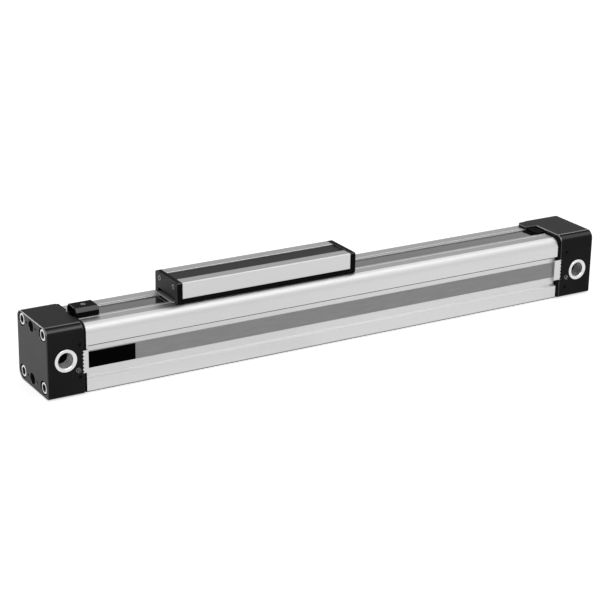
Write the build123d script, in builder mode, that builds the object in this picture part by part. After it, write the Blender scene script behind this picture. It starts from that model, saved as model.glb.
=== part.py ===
from build123d import *
from dataclasses import dataclass
import os

# Rodless pneumatic cylinder, 25 mm bore, in millimetres.
# X runs along the barrel with the left cap at -X, -Y is the near side, Z is up.
# The origin is on the floor under the middle of the overall length.

# Overall sizes
stroke = 175.0
base_length = 200.0
cap_size = 41.0
bore_diameter = 25.0
rest_offset = -44.7

# End cap lengths and the collar gaskets beside them
left_cap_length = 22.0
right_cap_length = 25.0
left_collar_thickness = 1.3
right_collar_thickness = 2.2
collar_inset = 0.35

# Rounded long edges of a cap
cap_near_top_radius = 5.0
cap_far_top_radius = 4.5
cap_near_bottom_radius = 1.8
cap_far_bottom_radius = 6.0
cap_edge_chamfer = 0.4

# Barrel extrusion
barrel_side_inset = 0.5
barrel_top_inset = 1.5
bore_below_top = 18.0
barrel_top_radius = 6.0
barrel_bottom_radius = 1.6
rail_width = 14.1
recess_depth = 1.05
slot_width = 7.0
rail_line_offset = 2.4
rail_line_width = 0.5
rail_line_depth = 0.3

# Side grooves, with an undercut upper flank and a bevelled lower one
groove_height = 18.9
groove_width = 19.0
groove_depth = 2.0
groove_bevel = 1.0
groove_undercut = 0.6
strip_width = 9.6
strip_thickness = 0.5

# Dovetail groove under the barrel
foot_groove_width = 17.0

# Cap screws
screw_from_side = 6.25
screw_from_bottom = 5.5
screw_from_top = 4.5
screw_radius = 2.5
screw_length = 30.0
screw_head_radius = 3.3
screw_head_length = 5.0
screw_head_sink = 0.4
counterbore_gap = 0.8
screw_bore_radius = 2.15
screw_bore_depth = 4.0

# Ports
port_from_end = 11.0
left_port_height = 21.5
right_port_height = 17.0
port_ring_radius = 6.65
port_thread_radius = 4.28
port_depth = 9.0
port_stand = 0.3
port_chamfer = 0.7
duct_radius = 2.6
duct_depth = 10.0

# Plain holes in the end face and the small dimples beside them
end_hole_radius = 3.25
end_hole_depth = 8.0
end_hole_shift = 1.0
dimple_spacing = 6.2
dimple_radius = 0.85
dimple_depth = 1.5

# Plugged holes and cushion screw on the near side of a cap
plug_radius = 1.1
plug_depth = 1.2
cushion_screw_radius = 1.6
cushion_screw_length = 8.0
cushion_slot_width = 0.6
cushion_slot_depth = 0.7
left_plug_heights = (29.5, 10.5)
right_plug_heights = (29.5, 6.5)
left_plug_from_edge = 2.8
right_plug_from_edge = 4.8
left_cushion_screw_height = 14.6
right_cushion_screw_height = 13.0
cushion_screw_behind_plugs = 0.8

# Light tabs that bridge cap and barrel on both sides
tab_height = 13.2
tab_in_cap = 0.9
left_tab_over_barrel = 1.2
right_tab_over_barrel = 2.0
tab_back = 1.9
tab_stand = 0.2

# Sealing bands
outer_band_side_gap = 0.3
outer_band_thickness = 0.4
inner_band_width = 12.0
inner_band_thickness = 0.5
band_seat_below_bore_top = 0.8
band_in_cap = 4.0
band_bend_radius = 5.0
outer_band_lift = 5.6
inner_band_dip = 5.2
band_ramp_length = 11.5
inner_band_ramp_length = 18.0

# Band clamps
clamp_cover_length = 13.7
clamp_cover_gap = 0.7
clamp_cover_width = 13.0
clamp_cover_rise = 5.0
clamp_cover_flat = 9.2
clamp_cover_drop = 2.3
clamp_cover_wall = 1.2
clamp_block_length = 10.0
clamp_block_side_gap = 1.0
clamp_block_height = 2.3
clamp_screw_radius = 1.3
hood_length = 8.5
hood_from_recess = 0.1
hood_corner_radius = 4.0
right_block_height = 1.5

# Carriage
carriage_length = 118.0
carriage_side_inset = 6.25
carriage_rise = 12.4
cover_thickness = 3.4
cover_stand = 0.2
cover_corner_radius = 1.5
cover_screw_from_side = 5.2
cover_screw_from_top = 3.2
cover_screw_radius = 1.0
cover_screw_length = 9.0
cover_screw_head_radius = 1.6
cover_screw_head_length = 1.6
slide_strip_height = 2.5
saddle_wall = 2.0
saddle_roof = 4.0
saddle_edge_radius = 0.8
top_strip_width = 12.6
top_strip_thickness = 0.9
top_strip_sink = 0.6
wiper_reach = 1.4
wiper_lip_height = 0.7
wiper_tip_height = 0.45
wiper_width = 20.4

# Yoke between saddle and pistons
yoke_open_length = 26.0
yoke_flange_room = 14.5
yoke_flange_thickness = 2.4
yoke_tunnel_height = 2.0
yoke_spigot_radius = 6.0
yoke_spigot_length = 8.0
yoke_screw_radius = 1.1
yoke_screw_head_radius = 1.6
yoke_screw_head_length = 1.5
yoke_screw_grip = 3.0
yoke_screw_from_end = 8.0

# Pistons and what they carry
piston_length = 22.0
piston_gap = 0.5
magnet_length = 4.0
guide_ring_width = 3.8
guide_ring_offset = 2.6
guide_ring_depth = 1.1
lip_seal_width = 4.8
lip_seal_offset = 12.0
lip_seal_depth = 2.1
cushion_bore_radius = 5.6
cushion_bore_depth = 15.5
cushion_seal_width = 2.0
cushion_seal_offset = 1.0
cushion_seal_depth = 1.35
cushion_spigot_radius = 5.0
cushion_spigot_bore = 2.5
cushion_spigot_length = 14.0
cushion_spigot_seat = 4.0
bore_seal_section = 1.2
bore_seal_clearance = 0.7
bore_seal_depth = 1.6

# Clearances
end_clearance = 0.5
sliding_gap = 0.3
wide_gap = 0.4
fit_gap = 0.1
screw_gap = 0.1
thread_gap = 0.03

# Sizes and places worked out from the ones above
overall_length = base_length + stroke
half_length = overall_length / 2
barrel_width = cap_size - 2 * barrel_side_inset
barrel_height = cap_size - barrel_top_inset
recess_width = barrel_width - 2 * rail_width
bore_height = barrel_height - bore_below_top
bore_radius = bore_diameter / 2
piston_radius = bore_radius - piston_gap
outer_band_width = recess_width - 2 * outer_band_side_gap
hood_inner_edge = recess_width / 2 + hood_from_recess
hood_width = cap_size / 2 - cap_far_top_radius - hood_inner_edge
barrel_start = -half_length + left_cap_length + left_collar_thickness
barrel_end = half_length - right_cap_length - right_collar_thickness
chamber_start = -half_length + left_cap_length
chamber_end = half_length - right_cap_length
travel_centre = (chamber_start + chamber_end) / 2
carriage_x = travel_centre + rest_offset
train_length = chamber_end - chamber_start - stroke - 2 * end_clearance
recess_floor = barrel_height - recess_depth
band_seat = bore_height + bore_radius - band_seat_below_bore_top
inner_band_top = band_seat - fit_gap
inner_band_bottom = inner_band_top - inner_band_thickness
piston_flat = inner_band_bottom - sliding_gap
outer_band_top = recess_floor + outer_band_thickness
clamp_cover_top = barrel_height + clamp_cover_rise
clamp_block_width = recess_width - 2 * clamp_block_side_gap
carriage_width = barrel_width - 2 * carriage_side_inset
carriage_top = barrel_height + carriage_rise
carriage_bottom = barrel_height + sliding_gap
saddle_bottom = carriage_bottom + slide_strip_height
saddle_length = carriage_length - 2 * cover_thickness
top_strip_floor = carriage_top - top_strip_sink - top_strip_thickness
saddle_ceiling = top_strip_floor - saddle_roof
groove_low = groove_height - groove_width / 2
groove_high = groove_height + groove_width / 2
bore_axis = Axis((0, 0, bore_height), (1, 0, 0))


@dataclass
class End:
    """One end of the cylinder: inward is +1 at the left end and -1 at the right end."""
    name: str
    inward: int
    outer: float
    cap_length: float
    collar: float
    port_height: float
    plug_heights: tuple
    plug_from_edge: float
    cushion_screw_height: float
    tab_over_barrel: float

    @property
    def cap_inner(self):
        return self.outer + self.inward * self.cap_length

    @property
    def barrel_face(self):
        return self.cap_inner + self.inward * self.collar

    @property
    def port_x(self):
        return self.outer + self.inward * port_from_end

    @property
    def plug_x(self):
        return self.cap_inner - self.inward * self.plug_from_edge

    @property
    def cushion_screw_x(self):
        return self.plug_x - self.inward * cushion_screw_behind_plugs

    @property
    def train_end(self):
        return carriage_x - self.inward * train_length / 2

    @property
    def carriage_face(self):
        return carriage_x - self.inward * carriage_length / 2


ends = [
    End("left", 1, -half_length, left_cap_length, left_collar_thickness,
        left_port_height, left_plug_heights, left_plug_from_edge,
        left_cushion_screw_height, left_tab_over_barrel),
    End("right", -1, half_length, right_cap_length, right_collar_thickness,
        right_port_height, right_plug_heights, right_plug_from_edge,
        right_cushion_screw_height, right_tab_over_barrel),
]

screw_rows = [screw_from_bottom, cap_size - screw_from_top]
screw_places = [(side * (cap_size / 2 - screw_from_side), z) for side in (-1, 1) for z in screw_rows]


def across(x_one, x_two):
    """The plane across the barrel at the lower of two X places; local x is Y and local y is Z."""
    return Plane.YZ.offset(min(x_one, x_two))


def span(x_one, x_two):
    return abs(x_two - x_one)


def save(part, name):
    part.label = name
    export_step(part, f"parts/{name}.step")


def cap_outline(inset):
    """The square face of a cap with its four different corner radii, drawn in the open sketch."""
    corners = [(-1, 0, cap_near_bottom_radius), (1, 0, cap_far_bottom_radius),
               (-1, cap_size, cap_near_top_radius), (1, cap_size, cap_far_top_radius)]
    for side, height, radius in corners:
        with Locations((side * (cap_size / 2 - radius), abs(height - radius))):
            Circle(radius - inset)
    make_hull()


def band_slots(half_gap):
    """Where both bands pass through a cap or a collar, drawn in the open sketch."""
    with Locations((0, (inner_band_bottom + inner_band_top) / 2)):
        Rectangle(inner_band_width + 2 * wide_gap, inner_band_thickness + 2 * half_gap)
    with Locations((0, (recess_floor + outer_band_top) / 2)):
        Rectangle(outer_band_width + 2 * wide_gap, outer_band_thickness + 2 * half_gap)


os.makedirs("parts", exist_ok=True)

# Barrel: one extrusion with bore, slot, band recess and grooves
with BuildPart() as barrel:
    with BuildSketch(across(barrel_start, barrel_end)) as section:
        with Locations((0, barrel_height / 2)):
            body = Rectangle(barrel_width, barrel_height)
        fillet(body.vertices().group_by(Axis.Y)[-1], barrel_top_radius)
        fillet(section.vertices().group_by(Axis.Y)[0], barrel_bottom_radius)
        with Locations((0, bore_height)):
            Circle(bore_radius, mode=Mode.SUBTRACT)
        with Locations((0, bore_height)):
            Rectangle(inner_band_width + 2 * wide_gap, band_seat - bore_height,
                      align=(Align.CENTER, Align.MIN), mode=Mode.SUBTRACT)
            Rectangle(slot_width, barrel_height - bore_height,
                      align=(Align.CENTER, Align.MIN), mode=Mode.SUBTRACT)
        with Locations((0, recess_floor)):
            Rectangle(recess_width, 2 * recess_depth,
                      align=(Align.CENTER, Align.MIN), mode=Mode.SUBTRACT)
        line_y = recess_width / 2 + rail_line_offset
        with Locations((-line_y, barrel_height), (line_y, barrel_height)):
            Rectangle(rail_line_width, 2 * rail_line_depth, mode=Mode.SUBTRACT)
        for side in (-1, 1):
            mouth = side * barrel_width / 2
            floor = side * (barrel_width / 2 - groove_depth)
            beyond = side * (barrel_width / 2 + groove_depth)
            with BuildLine():
                Polyline((beyond, groove_low - groove_bevel), (mouth, groove_low - groove_bevel),
                         (floor, groove_low), (floor, groove_high),
                         (mouth, groove_high - groove_undercut),
                         (beyond, groove_high - groove_undercut), close=True)
            make_face(mode=Mode.SUBTRACT)
        half_mouth = foot_groove_width / 2
        half_floor = half_mouth + groove_depth / 2
        with BuildLine():
            Polyline((-half_mouth, -groove_depth), (-half_mouth, 0), (-half_floor, groove_depth),
                     (half_floor, groove_depth), (half_mouth, 0), (half_mouth, -groove_depth),
                     close=True)
        make_face(mode=Mode.SUBTRACT)
        with Locations(*screw_places):
            Circle(screw_radius + thread_gap, mode=Mode.SUBTRACT)
    extrude(amount=span(barrel_start, barrel_end))
    for end in ends:
        seat_end = end.barrel_face + end.inward * bore_seal_depth
        with BuildSketch(across(end.barrel_face, seat_end)):
            with Locations((0, bore_height)):
                Circle(bore_radius + bore_seal_clearance + bore_seal_section + fit_gap)
        extrude(amount=bore_seal_depth, mode=Mode.SUBTRACT)
save(barrel.part, "barrel")

# Pieces of each end, left then right
for end in ends:
    near_face = -cap_size / 2
    cap_low = min(end.outer, end.cap_inner)
    counterbore_depth = screw_head_length + screw_head_sink

    # End cap: a cast block, drilled for screws, air and the cushion
    with BuildPart() as end_cap:
        with BuildSketch(across(end.outer, end.cap_inner)):
            cap_outline(0)
        extrude(amount=end.cap_length)
        chamfer(end_cap.faces().filter_by(Axis.X).edges(), cap_edge_chamfer)
        if end.name == "right":
            hood_start = end.cap_inner - hood_length
            hood_low = barrel_height + fit_gap
            with BuildSketch(across(hood_start, end.cap_inner)):
                with Locations((hood_inner_edge, hood_low)):
                    Rectangle(hood_width, cap_size - hood_low, align=Align.MIN)
            extrude(amount=hood_length + cap_edge_chamfer)
            hood_corner = end_cap.faces().sort_by(Axis.X)[0].edges().filter_by(Axis.Z).sort_by(Axis.Y)[-1]
            fillet(hood_corner, hood_corner_radius)
        with BuildSketch(across(end.outer, end.cap_inner)):
            with Locations(*screw_places):
                Circle(screw_radius + 3 * screw_gap)
        extrude(amount=end.cap_length, mode=Mode.SUBTRACT)
        head_floor = end.outer + end.inward * counterbore_depth
        with BuildSketch(across(end.outer, head_floor)):
            with Locations(*screw_places):
                Circle(screw_head_radius + counterbore_gap)
        extrude(amount=counterbore_depth, mode=Mode.SUBTRACT)
        with BuildSketch(across(end.outer, end.outer + end.inward * end_hole_depth)):
            with Locations(*[(end_hole_shift, z) for z in screw_rows]):
                Circle(end_hole_radius)
        extrude(amount=end_hole_depth, mode=Mode.SUBTRACT)
        with BuildSketch(across(end.outer, end.outer + end.inward * dimple_depth)):
            with Locations(*[(end_hole_shift + s * dimple_spacing, z) for z in screw_rows for s in (-1, 1)]):
                Circle(dimple_radius)
        extrude(amount=dimple_depth, mode=Mode.SUBTRACT)
        spigot_floor = end.cap_inner - end.inward * cushion_spigot_seat
        with BuildSketch(across(end.cap_inner, spigot_floor)):
            with Locations((0, bore_height)):
                Circle(cushion_spigot_radius + fit_gap)
        extrude(amount=cushion_spigot_seat, mode=Mode.SUBTRACT)
        with BuildSketch(across(end.cap_inner, end.port_x)):
            with Locations((0, bore_height)):
                Circle(cushion_spigot_bore)
        extrude(amount=span(end.cap_inner, end.port_x), mode=Mode.SUBTRACT)
        with BuildSketch(Plane.XZ.offset(-near_face)):
            with Locations((end.port_x, end.port_height)):
                Circle(port_ring_radius + fit_gap)
        extrude(amount=-port_depth, mode=Mode.SUBTRACT)
        with BuildSketch(Plane.XZ.offset(-near_face)):
            with Locations((end.port_x, end.port_height)):
                Circle(duct_radius)
        extrude(amount=-(cap_size / 2 + duct_radius), mode=Mode.SUBTRACT)
        with BuildSketch(Plane.XZ.offset(-near_face)):
            with Locations(*[(end.plug_x, z) for z in end.plug_heights]):
                Circle(plug_radius)
        extrude(amount=-plug_depth, mode=Mode.SUBTRACT)
        with BuildSketch(Plane.XZ.offset(-near_face)):
            with Locations((end.cushion_screw_x, end.cushion_screw_height)):
                Circle(cushion_screw_radius + sliding_gap / 3)
        extrude(amount=-(cushion_screw_length + sliding_gap), mode=Mode.SUBTRACT)
        notch_end = end.cap_inner - end.inward * (tab_in_cap + fit_gap)
        with BuildSketch(across(end.cap_inner, notch_end)):
            for side in (-1, 1):
                with Locations((side * cap_size / 2, groove_height)):
                    Rectangle(2 * (cap_size / 2 - barrel_width / 2 + tab_back + fit_gap),
                              tab_height + 2 * fit_gap)
        extrude(amount=tab_in_cap + fit_gap, mode=Mode.SUBTRACT)
        band_end = end.cap_inner - end.inward * (band_in_cap + fit_gap)
        with BuildSketch(across(end.cap_inner, band_end)):
            band_slots(fit_gap)
        extrude(amount=band_in_cap + fit_gap, mode=Mode.SUBTRACT)
    save(end_cap.part, f"{end.name}_end_cap")

    # Collar gasket: follows the cap's outline and lets bore, bands and screws through
    with BuildPart() as collar:
        with BuildSketch(across(end.cap_inner, end.barrel_face)):
            cap_outline(collar_inset)
            with Locations((0, bore_height)):
                Circle(bore_radius + fit_gap, mode=Mode.SUBTRACT)
            with Locations(*screw_places):
                Circle(screw_radius + 3 * screw_gap, mode=Mode.SUBTRACT)
        extrude(amount=end.collar)
        with BuildSketch(across(end.cap_inner, end.barrel_face)):
            band_slots(fit_gap)
            for side in (-1, 1):
                with Locations((side * cap_size / 2, groove_height)):
                    Rectangle(2 * (cap_size / 2 - barrel_width / 2 + tab_back + fit_gap),
                              tab_height + 2 * fit_gap)
            with Locations((0, outer_band_top)):
                Rectangle(recess_width, cap_size - outer_band_top,
                          align=(Align.CENTER, Align.MIN))
            if end.name == "right":
                with Locations((hood_inner_edge - fit_gap, barrel_height)):
                    Rectangle(hood_width + 2 * fit_gap, cap_size - barrel_height, align=Align.MIN)
        extrude(amount=end.collar, mode=Mode.SUBTRACT)
    save(collar.part, f"{end.name}_cap_collar")

    # Four cap screws with threaded heads, for fastening the cylinder by its ends
    head_top = end.outer + end.inward * screw_head_sink
    head_seat = end.outer + end.inward * counterbore_depth
    shank_end = head_seat + end.inward * screw_length
    with BuildPart() as cap_screws:
        with BuildSketch(across(head_top, head_seat)):
            with Locations(*screw_places):
                Circle(screw_head_radius)
        extrude(amount=screw_head_length)
        with BuildSketch(across(head_seat, shank_end)):
            with Locations(*screw_places):
                Circle(screw_radius)
        extrude(amount=screw_length)
        with BuildSketch(across(head_top, head_top + end.inward * screw_bore_depth)):
            with Locations(*screw_places):
                Circle(screw_bore_radius)
        extrude(amount=screw_bore_depth, mode=Mode.SUBTRACT)
    save(cap_screws.part, f"{end.name}_cap_screws")

    # Threaded port ring pressed into the near side
    with BuildPart() as port_ring:
        with BuildSketch(Plane.XZ.offset(-near_face + port_stand)):
            with Locations((end.port_x, end.port_height)):
                Circle(port_ring_radius)
        extrude(amount=-(port_depth + port_stand))
        chamfer(port_ring.edges().sort_by(Axis.Y)[0], port_stand)
        with BuildSketch(Plane.XZ.offset(-near_face + port_stand)):
            with Locations((end.port_x, end.port_height)):
                Circle(port_thread_radius)
        extrude(amount=-(port_depth + port_stand), mode=Mode.SUBTRACT)
        mouth_edges = port_ring.edges().filter_by(GeomType.CIRCLE).group_by(Axis.Y)[0]
        chamfer(mouth_edges.sort_by(SortBy.RADIUS)[0], port_chamfer)
    save(port_ring.part, f"{end.name}_port_ring")

    # Cushion adjusting screw with a driver slot
    with BuildPart() as cushion_screw:
        with BuildSketch(Plane.XZ.offset(-near_face)):
            with Locations((end.cushion_screw_x, end.cushion_screw_height)):
                Circle(cushion_screw_radius)
        extrude(amount=-cushion_screw_length)
        with BuildSketch(Plane.XZ.offset(-near_face)):
            with Locations((end.cushion_screw_x, end.cushion_screw_height)):
                Rectangle(2 * cushion_screw_radius, cushion_slot_width, rotation=45)
        extrude(amount=-cushion_slot_depth, mode=Mode.SUBTRACT)
    save(cushion_screw.part, f"{end.name}_cushion_screw")

    # Hollow cushion spigot that enters the piston at the end of the stroke
    spigot_tip = end.cap_inner + end.inward * cushion_spigot_length
    with BuildPart() as cushion_spigot:
        with BuildSketch(across(spigot_floor, spigot_tip)):
            with Locations((0, bore_height)):
                Circle(cushion_spigot_radius)
                Circle(cushion_spigot_bore, mode=Mode.SUBTRACT)
        extrude(amount=span(spigot_floor, spigot_tip))
        tip_face = cushion_spigot.faces().sort_by(Axis.X)[-1 if end.inward > 0 else 0]
        chamfer(tip_face.edges().sort_by(SortBy.RADIUS)[-1], 1.0)
    save(cushion_spigot.part, f"{end.name}_cushion_spigot")

    # Seal ring round the end of the bore
    seal_inside = end.barrel_face + end.inward * (bore_seal_depth - fit_gap)
    with BuildPart() as bore_seal:
        with BuildSketch(across(end.barrel_face, seal_inside)):
            with Locations((0, bore_height)):
                Circle(bore_radius + bore_seal_clearance + bore_seal_section)
                Circle(bore_radius + bore_seal_clearance, mode=Mode.SUBTRACT)
        extrude(amount=span(end.barrel_face, seal_inside))
        fillet(bore_seal.edges().filter_by(GeomType.CIRCLE), bore_seal_section / 3)
    save(bore_seal.part, f"{end.name}_bore_seal")

    # Light tabs on both sides, in the cap's notches and over the groove ends
    tab_start = end.cap_inner - end.inward * tab_in_cap
    tab_end = end.barrel_face + end.inward * end.tab_over_barrel
    with BuildPart() as side_tabs:
        with BuildSketch(across(tab_start, tab_end)):
            for side in (-1, 1):
                tab_outer = cap_size / 2 - tab_stand
                tab_inner = barrel_width / 2 - tab_back
                with Locations((side * (tab_outer + tab_inner) / 2, groove_height)):
                    Rectangle(tab_outer - tab_inner, tab_height)
        extrude(amount=span(tab_start, tab_end))
    save(side_tabs.part, f"{end.name}_side_tabs")

# Grey strips in the side grooves, between the tabs
strip_start = barrel_start + left_tab_over_barrel + wide_gap
strip_end = barrel_end - right_tab_over_barrel - wide_gap
for side, name in ((-1, "near"), (1, "far")):
    with BuildPart() as groove_strip:
        with BuildSketch(across(strip_start, strip_end)):
            with Locations((side * (barrel_width / 2 - groove_depth + strip_thickness / 2), groove_height)):
                Rectangle(strip_thickness, strip_width)
        extrude(amount=span(strip_start, strip_end))
    save(groove_strip.part, f"{name}_groove_strip")


def bent_band(plateau, ramp, rise, bottom, thickness, width):
    """A flat steel band that leaves its seat by rise over the carriage's middle, as one side outline."""
    start = -half_length + left_cap_length - band_in_cap
    finish = half_length - right_cap_length + band_in_cap
    foot = plateau / 2 + ramp
    crest = plateau / 2
    low = [(start, bottom), (carriage_x - foot, bottom), (carriage_x - crest, bottom + rise),
           (carriage_x + crest, bottom + rise), (carriage_x + foot, bottom), (finish, bottom)]
    high = [(x, z + thickness) for x, z in reversed(low)]
    with BuildPart() as band:
        with BuildSketch(Plane.XZ) as side_view:
            with BuildLine():
                Polyline(*low, *high, close=True)
            make_face()
            bends = [v for v in side_view.vertices() if abs(v.X - carriage_x) < foot + 1]
            fillet(bends, band_bend_radius)
        extrude(amount=width / 2, both=True)
    return band.part


# Outer band: runs in the recess and rises over the yoke inside the carriage
yoke_flange_length = saddle_length - 2 * yoke_flange_room
outer_plateau = yoke_flange_length + 2 * wide_gap
save(bent_band(outer_plateau, band_ramp_length, outer_band_lift, recess_floor,
               outer_band_thickness, outer_band_width), "outer_sealing_band")

# Inner band: closes the slot from inside and dips through the yoke's tunnel
bridge_half = train_length / 2 - piston_length - magnet_length
yoke_web_length = 2 * (bridge_half - yoke_open_length)
inner_plateau = yoke_web_length + 8 * end_clearance
save(bent_band(inner_plateau, inner_band_ramp_length, -inner_band_dip, inner_band_bottom,
               inner_band_thickness, inner_band_width), "inner_sealing_band")

# Arched clamp cover beside the left cap
cover_start = barrel_start + clamp_cover_gap
cover_end = cover_start + clamp_cover_length
cover_bottom = barrel_height + fit_gap
shoulder = clamp_cover_top - clamp_cover_drop
with BuildPart() as clamp_cover:
    with BuildSketch(across(cover_start, cover_end)):
        for inset in (0, clamp_cover_wall):
            half_flat = clamp_cover_flat / 2 - inset / 2
            half_width = clamp_cover_width / 2 - inset
            top = clamp_cover_top - inset
            floor = cover_bottom - inset
            with BuildLine():
                Polyline((-half_flat, top), (-half_width, shoulder), (-half_width, floor),
                         (half_width, floor), (half_width, shoulder), (half_flat, top), close=True)
            make_face(mode=Mode.ADD if inset == 0 else Mode.SUBTRACT)
    extrude(amount=clamp_cover_length)
    with BuildSketch(across(cover_end - clamp_cover_wall, cover_end)):
        with Locations((0, cover_bottom)):
            Rectangle(clamp_cover_width - clamp_cover_wall, shoulder - cover_bottom,
                      align=(Align.CENTER, Align.MIN))
        with Locations((0, shoulder)):
            Rectangle(clamp_cover_flat - clamp_cover_wall, clamp_cover_drop - clamp_cover_wall / 2,
                      align=(Align.CENTER, Align.MIN))
    extrude(amount=clamp_cover_wall)
    clamp_x = (cover_start + cover_end) / 2
    with BuildSketch(Plane.XY.offset(clamp_cover_top)):
        with Locations((clamp_x, 0)):
            Circle(clamp_screw_radius + fit_gap)
    extrude(amount=-2 * clamp_cover_wall, mode=Mode.SUBTRACT)
save(clamp_cover.part, "left_clamp_cover")

# Clamp blocks that hold the outer band, each with its set screw
right_block_end = barrel_end - fit_gap
right_block_start = right_block_end - (hood_length - right_collar_thickness)
clamp_blocks = [
    ("left", clamp_x - clamp_block_length / 2 - wide_gap, clamp_x + clamp_block_length / 2 - wide_gap,
     clamp_block_width, clamp_block_height, clamp_cover_top),
    ("right", right_block_start, right_block_end,
     recess_width - 2 * wide_gap, right_block_height, outer_band_top + right_block_height),
]
for name, low_x, high_x, width, height, screw_top in clamp_blocks:
    screw_x = clamp_x if name == "left" else (low_x + high_x) / 2
    with BuildPart() as clamp_block:
        with BuildSketch(across(low_x, high_x)):
            with Locations((0, outer_band_top)):
                Rectangle(width, height, align=(Align.CENTER, Align.MIN))
        extrude(amount=span(low_x, high_x))
        with BuildSketch(Plane.XY.offset(outer_band_top)):
            with Locations((screw_x, 0)):
                Circle(clamp_screw_radius + fit_gap)
        extrude(amount=height, mode=Mode.SUBTRACT)
        top_edges = clamp_block.faces().sort_by(Axis.Z)[-1].edges().filter_by(Axis.X)
        chamfer(top_edges, wide_gap)
    save(clamp_block.part, f"{name}_clamp_block")
    with BuildPart() as clamp_screw:
        with BuildSketch(Plane.XY.offset(outer_band_top)):
            with Locations((screw_x, 0)):
                Circle(clamp_screw_radius)
        extrude(amount=screw_top - outer_band_top)
        with BuildSketch(Plane.XY.offset(screw_top)):
            with Locations((screw_x, 0)):
                RegularPolygon(clamp_screw_radius / 2, 6)
        extrude(amount=-clamp_screw_radius, mode=Mode.SUBTRACT)
    save(clamp_screw.part, f"{name}_clamp_screw")

# Saddle: aluminium block with two rims on top and a channel under it
saddle_start = carriage_x - saddle_length / 2
saddle_finish = carriage_x + saddle_length / 2
with BuildPart() as saddle:
    with BuildSketch(across(saddle_start, saddle_finish)) as section:
        with Locations((0, saddle_bottom)):
            Rectangle(carriage_width, carriage_top - saddle_bottom, align=(Align.CENTER, Align.MIN))
        fillet(section.vertices().group_by(Axis.Y)[-1], saddle_edge_radius)
        with Locations((0, saddle_bottom)):
            Rectangle(carriage_width - 2 * saddle_wall, saddle_ceiling - saddle_bottom,
                      align=(Align.CENTER, Align.MIN), mode=Mode.SUBTRACT)
        with Locations((0, top_strip_floor)):
            Rectangle(top_strip_width + 2 * fit_gap, carriage_top - top_strip_floor,
                      align=(Align.CENTER, Align.MIN), mode=Mode.SUBTRACT)
    extrude(amount=saddle_length)
    flange_half_width = carriage_width / 2 - saddle_wall - fit_gap
    screw_y = (outer_band_width / 2 + wide_gap + flange_half_width) / 2
    screw_x = yoke_flange_length / 2 - yoke_screw_from_end
    yoke_screw_places = [(carriage_x + i * screw_x, j * screw_y) for i in (-1, 1) for j in (-1, 1)]
    with BuildSketch(Plane.XY.offset(saddle_ceiling)):
        with Locations(*yoke_screw_places):
            Circle(yoke_screw_radius + screw_gap)
    extrude(amount=yoke_screw_grip + screw_gap, mode=Mode.SUBTRACT)
    cover_screw_places = [(side * (carriage_width / 2 - cover_screw_from_side),
                           carriage_top - cover_screw_from_top) for side in (-1, 1)]
    cover_screw_grip = cover_screw_length - cover_thickness + cover_screw_head_length + fit_gap
    for hole_x in (saddle_start, saddle_finish - cover_screw_grip - screw_gap):
        with BuildSketch(Plane.YZ.offset(hole_x)):
            with Locations(*cover_screw_places):
                Circle(cover_screw_radius + screw_gap)
        extrude(amount=cover_screw_grip + screw_gap, mode=Mode.SUBTRACT)
save(saddle.part, "carriage_saddle")

# Dark strip between the rims
with BuildPart() as top_strip:
    with BuildSketch(across(saddle_start, saddle_finish)):
        with Locations((0, top_strip_floor)):
            Rectangle(top_strip_width, top_strip_thickness, align=(Align.CENTER, Align.MIN))
    extrude(amount=saddle_length)
save(top_strip.part, "carriage_top_strip")

# Black slide strips under the saddle's walls
for side, name in ((-1, "near"), (1, "far")):
    with BuildPart() as slide_strip:
        with BuildSketch(across(saddle_start, saddle_finish)):
            with Locations((side * (carriage_width - saddle_wall) / 2, carriage_bottom)):
                Rectangle(saddle_wall, slide_strip_height, align=(Align.CENTER, Align.MIN))
        extrude(amount=saddle_length)
    save(slide_strip.part, f"{name}_slide_strip")

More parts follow.
